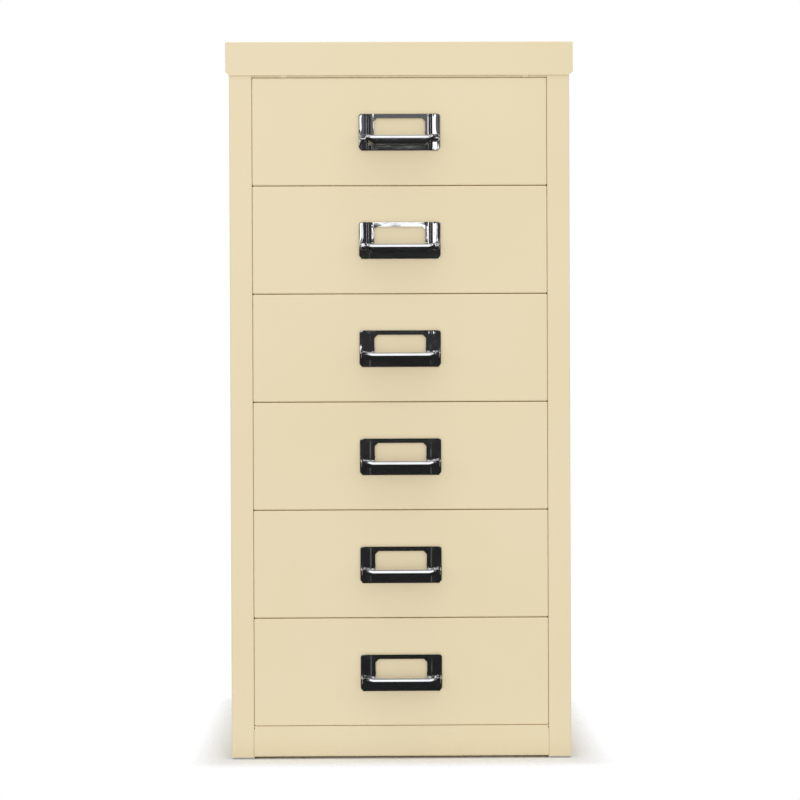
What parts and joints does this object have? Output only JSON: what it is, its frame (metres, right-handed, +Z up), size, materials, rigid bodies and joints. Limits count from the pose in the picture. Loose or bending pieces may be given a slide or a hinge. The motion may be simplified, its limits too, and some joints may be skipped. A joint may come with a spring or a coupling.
{
  "type": "multi-drawer cabinet",
  "caption": "Slim upright painted steel cabinet with a stack of equal sliding drawers, each with a chromed card-frame pull, under an overhanging cap.",
  "frame": {"origin": "middle of the whole footprint, handles included, on the surface the feet rest on", "axes": "+Z up, drawers open towards -Y, +X to the right as seen from the front"},
  "size_m": [0.2864, 0.3926, 0.5915],
  "materials": {
    "cream_paint": "smooth satin powder coat",
    "chrome": "bright chrome plate",
    "zinc_steel": "zinc-plated sheet",
    "glide_plastic": "matt"
  },
  "bodies": {
    "root": {"top_cap": "cream_paint", "top_front_rail": "cream_paint", "left_side_panel": "cream_paint", "right_side_panel": "cream_paint", "back_panel": "cream_paint", "base_pan": "cream_paint", "bottom_front_rail": "cream_paint", "feet": "glide_plastic", "runner_left_1": "zinc_steel", "runner_left_2": "zinc_steel", "runner_left_3": "zinc_steel", "runner_left_4": "zinc_steel", "runner_left_5": "zinc_steel", "runner_left_6": "zinc_steel", "runner_right_1": "zinc_steel", "runner_right_2": "zinc_steel", "runner_right_3": "zinc_steel", "runner_right_4": "zinc_steel", "runner_right_5": "zinc_steel", "runner_right_6": "zinc_steel"},
    "drawer_1": {"drawer_1_front": "cream_paint", "drawer_1_tray": "cream_paint", "drawer_1_handle": "chrome"},
    "drawer_2": {"drawer_2_front": "cream_paint", "drawer_2_tray": "cream_paint", "drawer_2_handle": "chrome"},
    "drawer_3": {"drawer_3_front": "cream_paint", "drawer_3_tray": "cream_paint", "drawer_3_handle": "chrome"},
    "drawer_4": {"drawer_4_front": "cream_paint", "drawer_4_tray": "cream_paint", "drawer_4_handle": "chrome"},
    "drawer_5": {"drawer_5_front": "cream_paint", "drawer_5_tray": "cream_paint", "drawer_5_handle": "chrome"},
    "drawer_6": {"drawer_6_front": "cream_paint", "drawer_6_tray": "cream_paint", "drawer_6_handle": "chrome"}
  },
  "joints": [
    {"name": "drawer_1_slide", "type": "slide", "parent": "root", "child": "drawer_1", "axis": [0, -1, 0], "range_m": [0, 0.285]},
    {"name": "drawer_2_slide", "type": "slide", "parent": "root", "child": "drawer_2", "axis": [0, -1, 0], "range_m": [0, 0.285]},
    {"name": "drawer_3_slide", "type": "slide", "parent": "root", "child": "drawer_3", "axis": [0, -1, 0], "range_m": [0, 0.285]},
    {"name": "drawer_4_slide", "type": "slide", "parent": "root", "child": "drawer_4", "axis": [0, -1, 0], "range_m": [0, 0.285]},
    {"name": "drawer_5_slide", "type": "slide", "parent": "root", "child": "drawer_5", "axis": [0, -1, 0], "range_m": [0, 0.285]},
    {"name": "drawer_6_slide", "type": "slide", "parent": "root", "child": "drawer_6", "axis": [0, -1, 0], "range_m": [0, 0.285]}
  ]
}
